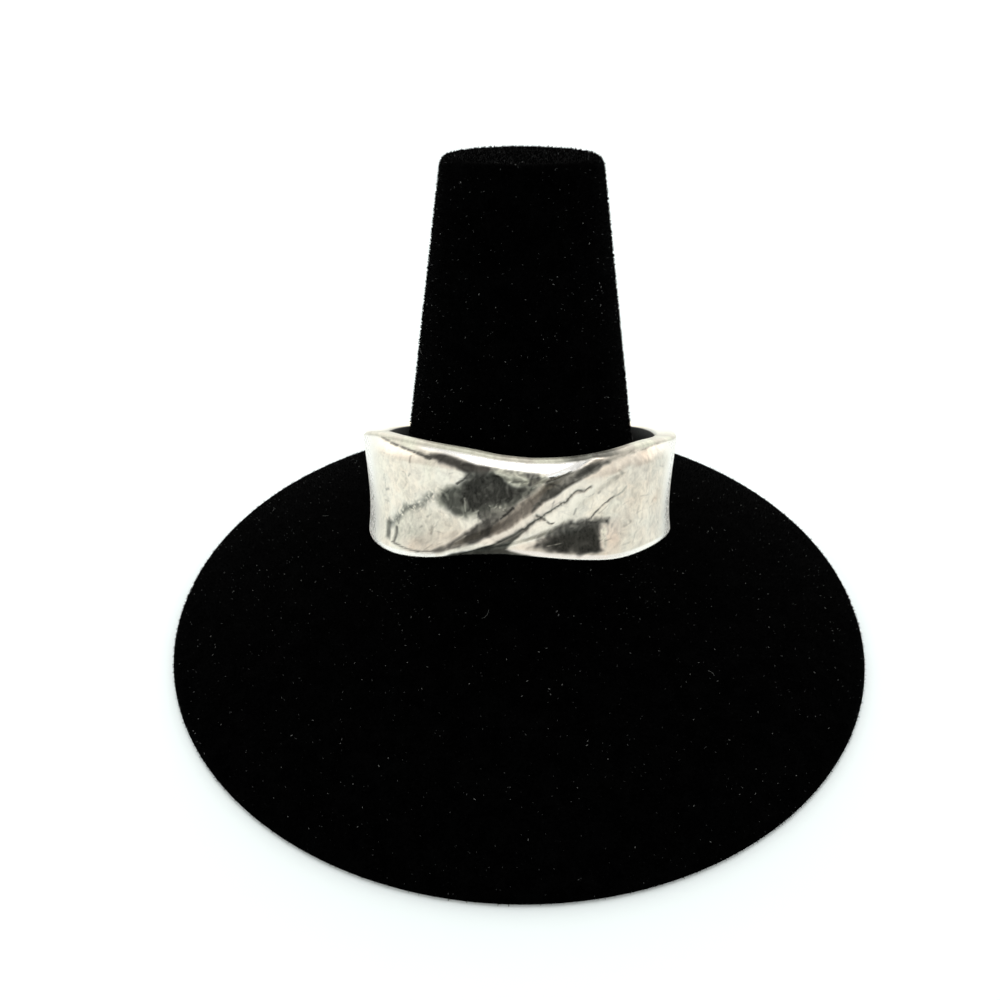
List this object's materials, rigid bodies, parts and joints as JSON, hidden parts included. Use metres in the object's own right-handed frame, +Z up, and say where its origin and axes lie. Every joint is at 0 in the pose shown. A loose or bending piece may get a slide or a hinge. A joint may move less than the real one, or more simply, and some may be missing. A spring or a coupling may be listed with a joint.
{
  "type": "twist ring on a ring stand",
  "caption": "Wide silver finger ring whose front twists over itself in a diagonal ridge, slipped over a leaning flocked finger post on a round domed base.",
  "frame": {"origin": "middle of the stand's round foot, on the surface that it stands on", "axes": "+Z up, +Y from the front of the ring towards its back, the way the post leans, +X to the right seen from the front"},
  "size_m": [0.0548, 0.0548, 0.0379],
  "materials": {
    "silver": "polished sterling silver, worn, with dark tarnish in the hollows beside the ridge and fine scratches",
    "flock": "black flocked velvet pile with a little lint"
  },
  "bodies": {
    "root": {"ring": "silver", "stand": "flock"}
  },
  "joints": []
}
